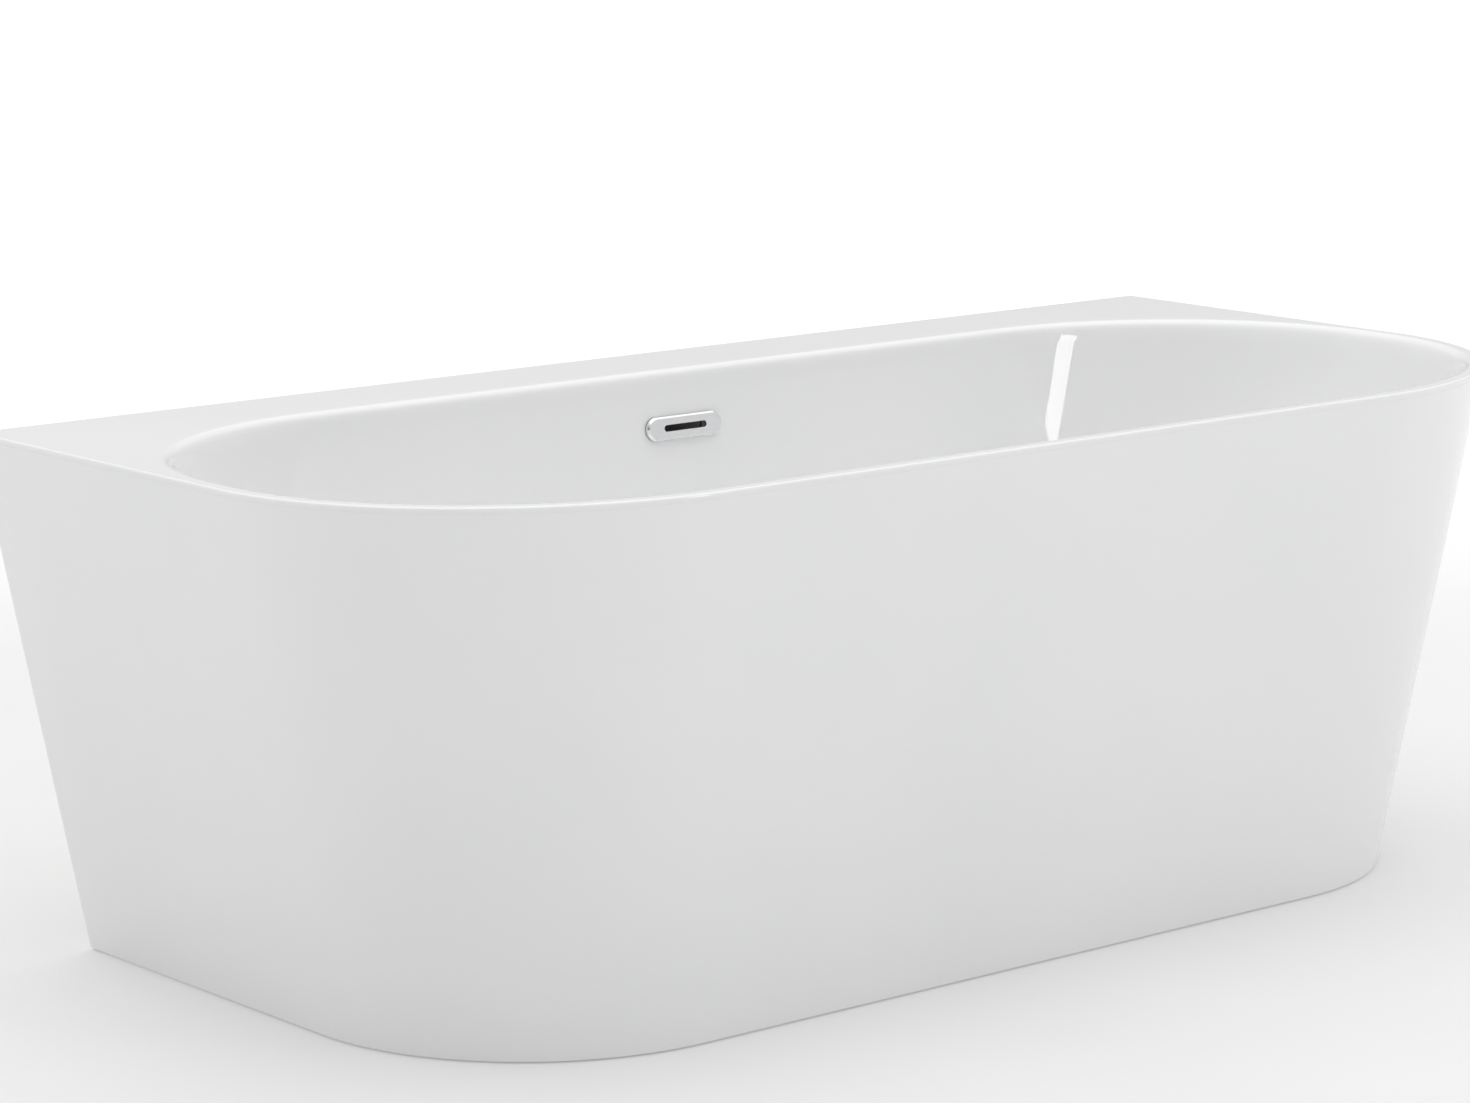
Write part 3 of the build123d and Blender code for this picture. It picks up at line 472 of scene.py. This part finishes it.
class Nodes:
    """Short ways to add and join shader nodes in one material."""

    def __init__(self, name):
        self.material = bpy.data.materials.new(name)
        self.material.use_nodes = True
        self.tree = self.material.node_tree
        self.shader = self.tree.nodes["Principled BSDF"]
        self.place = self.add("ShaderNodeTexCoord").outputs["Object"]

    def add(self, kind, **settings):
        node = self.tree.nodes.new(kind)
        for key, value in settings.items():
            setattr(node, key, value)
        return node

    def join(self, source, target):
        self.tree.links.new(source, target)

    def noise(self, scale, detail=3, roughness=0.5, vector=None):
        node = self.add("ShaderNodeTexNoise")
        node.inputs["Scale"].default_value = scale
        node.inputs["Detail"].default_value = detail
        node.inputs["Roughness"].default_value = roughness
        self.join(vector or self.place, node.inputs["Vector"])
        return node.outputs["Fac"]

    def voronoi(self, scale, feature="F1", vector=None):
        node = self.add("ShaderNodeTexVoronoi", feature=feature)
        node.inputs["Scale"].default_value = scale
        self.join(vector or self.place, node.inputs["Vector"])
        return node

    def stretch(self, scale, turn=(0, 0, 0)):
        node = self.add("ShaderNodeMapping")
        node.inputs["Scale"].default_value = scale
        node.inputs["Rotation"].default_value = turn
        self.join(self.place, node.inputs["Vector"])
        return node.outputs["Vector"]

    def ramp(self, source, stops):
        node = self.add("ShaderNodeValToRGB")
        elements = node.color_ramp.elements
        while len(elements) < len(stops):
            elements.new(0.5)
        for element, (position, colour) in zip(elements, stops):
            element.position = position
            element.color = (*colour, 1)
        self.join(source, node.inputs["Fac"])
        return node.outputs["Color"]

    def spread(self, source, low, high):
        node = self.add("ShaderNodeMapRange")
        node.inputs["To Min"].default_value = low
        node.inputs["To Max"].default_value = high
        self.join(source, node.inputs["Value"])
        return node.outputs["Result"]

    def bump(self, source, distance, strength=1.0, onto=None):
        node = self.add("ShaderNodeBump")
        node.inputs["Distance"].default_value = distance
        node.inputs["Strength"].default_value = strength
        self.join(source, node.inputs["Height"])
        if onto is not None:
            self.join(onto, node.inputs["Normal"])
        self.join(node.outputs["Normal"], self.shader.inputs["Normal"])
        return node.outputs["Normal"]

    def set(self, **values):
        names = {"ior": "IOR", "coat": "Coat Weight", "coat_roughness": "Coat Roughness"}
        for key, value in values.items():
            self.shader.inputs[names.get(key, key.capitalize())].default_value = value
        return self

    def colour(self, source):
        self.join(source, self.shader.inputs["Base Color"])

    def roughness(self, source):
        self.join(source, self.shader.inputs["Roughness"])


def acrylic():
    """Polished white acrylic: a clear glossy skin over white, faintly uneven as formed sheet is."""
    m = Nodes("white_acrylic")
    m.set(ior=1.49)
    m.colour(m.ramp(m.noise(3.0, 2), [(0.3, (0.845, 0.848, 0.85)), (0.7, (0.87, 0.87, 0.868))]))
    m.roughness(m.spread(m.noise(14.0, 4), 0.02, 0.04))
    m.bump(m.noise(7.0, 2, 0.4), 0.0003, 0.25)
    return m.material


def seam():
    """White adhesive of the seam, sanded flush and nearly as glossy as the acrylic."""
    m = Nodes("rim_sealant")
    m.colour(m.ramp(m.noise(60.0, 3), [(0.3, (0.84, 0.84, 0.84)), (0.7, (0.87, 0.87, 0.865))]))
    m.roughness(m.spread(m.noise(200.0, 3), 0.08, 0.14))
    m.bump(m.noise(150.0, 2), 0.00005, 0.5)
    return m.material


def glass_fibre():
    """Chopped-strand laminate: short pale fibres every way in a slightly yellow resin."""
    m = Nodes("glass_fibre")
    strands = None
    for turn, offset in ((0.3, 41.0), (1.4, 47.0), (2.5, 53.0)):
        vector = m.stretch((1, 1, 1), (turn, turn * 0.7, turn * 1.3))
        squeezed = m.add("ShaderNodeMapping")
        squeezed.inputs["Scale"].default_value = (1.0, 9.0, 9.0)
        m.join(vector, squeezed.inputs["Vector"])
        fibre = m.noise(offset, 2, 0.5, squeezed.outputs["Vector"])
        if strands is None:
            strands = fibre
        else:
            both = m.add("ShaderNodeMath", operation="MAXIMUM")
            m.join(strands, both.inputs[0])
            m.join(fibre, both.inputs[1])
            strands = both.outputs[0]
    resin, mixed, fibre_tone = (0.50, 0.48, 0.40), (0.64, 0.62, 0.55), (0.78, 0.77, 0.72)
    m.colour(m.ramp(strands, [(0.45, resin), (0.58, mixed), (0.70, fibre_tone)]))
    m.roughness(m.spread(m.noise(30.0, 3), 0.35, 0.6))
    m.bump(strands, 0.0012, 0.8, m.bump(m.noise(18.0, 4), 0.002, 0.5))
    return m.material


def powder_coat():
    """Grey powder coat with a fine orange peel."""
    m = Nodes("frame_steel")
    m.colour(m.ramp(m.noise(25.0, 4), [(0.3, (0.13, 0.135, 0.14)), (0.7, (0.165, 0.17, 0.175))]))
    m.roughness(m.spread(m.noise(90.0, 3), 0.38, 0.55))
    m.bump(m.noise(900.0, 2), 0.00012, 0.6)
    return m.material


def metal(name, dark, light, rough, brushed=0.0, grain=300.0):
    """Plated or machined metal with fine tooling marks."""
    m = Nodes(name).set(metallic=1.0)
    marks = m.noise(grain, 3, 0.6, m.stretch((1, 1, 8)))
    m.colour(m.ramp(marks, [(0.3, dark), (0.7, light)]))
    m.roughness(m.spread(marks, *rough))
    if brushed:
        m.bump(marks, brushed, 0.5)
    return m.material


def zinc():
    """Bright zinc plating with faint spangle."""
    m = Nodes("zinc_steel").set(metallic=1.0)
    cells = m.voronoi(140.0)
    m.colour(m.ramp(cells.outputs["Distance"], [(0.1, (0.66, 0.67, 0.66)), (0.9, (0.54, 0.55, 0.55))]))
    m.roughness(m.spread(m.noise(220.0, 3), 0.22, 0.38))
    m.bump(m.noise(500.0, 2), 0.00005)
    return m.material


def moulded(name, dark, light, rough, grain):
    """Moulded plastic or rubber with a fine spark-eroded grain."""
    m = Nodes(name)
    m.colour(m.ramp(m.noise(12.0, 4), [(0.3, dark), (0.7, light)]))
    m.roughness(m.spread(m.noise(160.0, 3), *rough))
    m.bump(m.noise(grain, 2), 0.00008, 0.6)
    return m.material


def chipboard():
    """Raw chipboard: pressed flakes of several browns."""
    m = Nodes("board")
    flakes = m.voronoi(160.0, vector=m.stretch((1, 1.7, 1)))
    tone = m.add("ShaderNodeSeparateColor")
    m.join(flakes.outputs["Color"], tone.inputs["Color"])
    dark, middle, light = (0.30, 0.20, 0.11), (0.46, 0.33, 0.20), (0.60, 0.47, 0.31)
    m.colour(m.ramp(tone.outputs["Red"], [(0.1, dark), (0.5, middle), (0.9, light)]))
    m.roughness(m.spread(tone.outputs["Green"], 0.6, 0.85))
    m.bump(flakes.outputs["Distance"], 0.0006, 0.7)
    return m.material


def make_materials():
    """One material for each slot."""
    return {
        "white_acrylic": acrylic(),
        "rim_sealant": seam(),
        "glass_fibre": glass_fibre(),
        "board": chipboard(),
        "frame_steel": powder_coat(),
        "zinc_steel": zinc(),
        "chrome": metal("chrome", (0.80, 0.81, 0.82), (0.86, 0.86, 0.87), (0.03, 0.07)),
        "brass": metal("brass", (0.62, 0.45, 0.20), (0.74, 0.56, 0.28), (0.2, 0.32), 0.00006),
        "rubber": moulded("rubber", (0.018, 0.018, 0.019), (0.03, 0.03, 0.031), (0.55, 0.75), 600.0),
        "drain_plastic": moulded(
            "drain_plastic", (0.66, 0.66, 0.65), (0.73, 0.73, 0.72), (0.3, 0.45), 500.0
        ),
        "nut_plastic": moulded(
            "nut_plastic", (0.045, 0.045, 0.048), (0.065, 0.065, 0.068), (0.35, 0.5), 500.0
        ),
        "foot_plastic": moulded(
            "foot_plastic", (0.022, 0.022, 0.023), (0.035, 0.035, 0.036), (0.4, 0.6), 400.0
        ),
    }


def dress_nodes(materials):
    """Gives every CAD node the material of its slot."""
    slots = {entry["node"]: entry["material_slot"] for entry in frame["record"]["subparts"]}
    for name, node in frame["nodes"].items():
        node.data.materials.clear()
        node.data.materials.append(materials[slots[name]])


# ------------------------------------------------------------------ studio

# Brightness of the surroundings: the same everywhere, plus towards each side an amount that falls off
# with the cosine of the angle raised to a power.
SKY_EVEN = 0.05
SKY_SIDES = (
    ((0, 0, 1), 0.74, 1),
    ((0, 0, 1), 1.34, 5),
    ((0.65, 0.76, 0), 0.38, 1),
    ((-0.76, 0.65, 0), 0.41, 1),
    ((0.76, -0.65, 0), 0.24, 1),
)
# Painted light on the floor: emission strength near and far from the bath, and the distances over which it
# rises; the dimmer floor near the bath is painted shade.
FLOOR_PAINTED_LIGHT = (0.24, 0.45)
PAINTED_LIGHT_REACH = (1.5, 3.5)
FLOOR_SIZE = 40
STRIP_LIGHT = 6.8
STRIP_PLACE, STRIP_TARGET, STRIP_SIZE = (1.45, -3.80, 1.35), (0.58, 0.24, 0.50), (0.5, 1.2)
CAMERA_PLACE, CAMERA_TILT, CAMERA_TURN, CAMERA_LENS = (-3.348, -3.794, 1.354), 79.39, -40.22, 114.33


def make_floor():
    """Pale floor with the faintest mottling and painted light: it glows more further from the bath, so the
    dimmer floor round the bath is a painted soft shadow.
    """
    m = Nodes("studio_floor")
    m.colour(m.ramp(m.noise(2.0, 3), [(0.3, (0.56, 0.56, 0.56)), (0.7, (0.58, 0.58, 0.58))]))
    m.set(roughness=0.95)
    m.shader.inputs["Specular IOR Level"].default_value = 0.1
    m.shader.inputs["Emission Color"].default_value = (1, 1, 1, 1)
    distance = m.add("ShaderNodeVectorMath", operation="LENGTH")
    m.join(m.place, distance.inputs[0])
    # Painted light: emission that rises with distance from the bath, leaving a painted soft shadow round
    # it.
    painted_light = m.add("ShaderNodeMapRange", interpolation_type="SMOOTHSTEP")
    for key, value in zip(("From Min", "From Max", "To Min", "To Max"), (*PAINTED_LIGHT_REACH, *FLOOR_PAINTED_LIGHT)):
        painted_light.inputs[key].default_value = value
    m.join(distance.outputs["Value"], painted_light.inputs["Value"])
    m.join(painted_light.outputs["Result"], m.shader.inputs["Emission Strength"])
    points = [(x * FLOOR_SIZE, y * FLOOR_SIZE, 0) for x, y in ((-1, -1), (1, -1), (1, 1), (-1, 1))]
    floor = make_object("studio_floor", points, [(0, 1, 2, 3)])
    floor.data.materials.append(m.material)


def area_light(name, place, target, size, radiance):
    """Soft rectangular light that points at a target, its power set from the radiance of its face."""
    data = bpy.data.lights.new(name, "AREA")
    data.shape = "RECTANGLE"
    data.size, data.size_y = size
    data.energy = radiance * math.pi * size[0] * size[1]
    light = bpy.data.objects.new(name, data)
    SCENE.collection.objects.link(light)
    light.location = place
    light.rotation_euler = (Vector(target) - Vector(place)).to_track_quat("-Z", "Y").to_euler()


def make_world():
    """Surroundings of uneven brightness for the light, with plain white behind the bath for the camera."""
    world = bpy.data.worlds.new("studio")
    SCENE.world = world
    world.use_nodes = True
    tree = world.node_tree

    def math_node(operation, first, second):
        node = tree.nodes.new("ShaderNodeMath")
        node.operation = operation
        for socket, value in zip(node.inputs, (first, second)):
            if isinstance(value, (int, float)):
                socket.default_value = value
            else:
                tree.links.new(value, socket)
        return node.outputs[0]

    direction = tree.nodes.new("ShaderNodeTexCoord").outputs["Generated"]
    strength = SKY_EVEN
    for side, amount, power in SKY_SIDES:
        facing = tree.nodes.new("ShaderNodeVectorMath")
        facing.operation = "DOT_PRODUCT"
        facing.inputs[1].default_value = side
        tree.links.new(direction, facing.inputs[0])
        share = math_node("POWER", math_node("MAXIMUM", facing.outputs["Value"], 0.0), power)
        strength = math_node("ADD", math_node("MULTIPLY", share, amount), strength)
    sky = tree.nodes["Background"]
    sky.inputs["Color"].default_value = (1, 1, 1, 1)
    tree.links.new(math_node("MAXIMUM", strength, 0.0), sky.inputs["Strength"])
    backdrop = tree.nodes.new("ShaderNodeBackground")
    backdrop.inputs["Color"].default_value = (1, 1, 1, 1)
    backdrop.inputs["Strength"].default_value = 1.0
    path = tree.nodes.new("ShaderNodeLightPath")
    mix = tree.nodes.new("ShaderNodeMixShader")
    tree.links.new(path.outputs["Is Camera Ray"], mix.inputs["Fac"])
    tree.links.new(sky.outputs["Background"], mix.inputs[1])
    tree.links.new(backdrop.outputs["Background"], mix.inputs[2])
    tree.links.new(mix.outputs["Shader"], tree.nodes["World Output"].inputs["Surface"])


def make_studio():
    """Surroundings for the even light, and a strip for the streak on the far wall."""
    make_world()
    area_light("strip", STRIP_PLACE, STRIP_TARGET, STRIP_SIZE, STRIP_LIGHT)


def make_camera():
    """Camera at the viewing angle that shows the whole bath from its left front corner."""
    data = bpy.data.cameras.new("camera")
    data.sensor_width = 36
    data.lens = CAMERA_LENS
    data.clip_end = 100
    camera = bpy.data.objects.new("camera", data)
    SCENE.collection.objects.link(camera)
    camera.location = CAMERA_PLACE
    camera.rotation_euler = (math.radians(CAMERA_TILT), 0, math.radians(CAMERA_TURN))
    SCENE.camera = camera


# ------------------------------------------------------------------ build

SCENE.view_settings.view_transform = "Standard"
make_camera()
make_studio()
make_floor()
MATERIALS = make_materials()
dress_nodes(MATERIALS)
finish_piece(make_basin(), "tub", "white_acrylic", MATERIALS["white_acrylic"], "basin_shell")
finish_piece(make_skirt(), "tub", "white_acrylic", MATERIALS["white_acrylic"], "outer_skirt")
finish_piece(make_rear_lip(), "tub", "white_acrylic", MATERIALS["white_acrylic"], "basin_shell")
finish_piece(make_bond(), "tub", "rim_sealant", MATERIALS["rim_sealant"], "rim_bond")
for place in ("front_left", "front_middle", "front_right", "rear_left", "rear_right"):
    rod = make_rod(f"threaded_rod_{place}", f"foot_rod_{place}")
    finish_piece(rod, f"rod_{place}", "zinc_steel", MATERIALS["zinc_steel"], f"foot_rod_{place}")
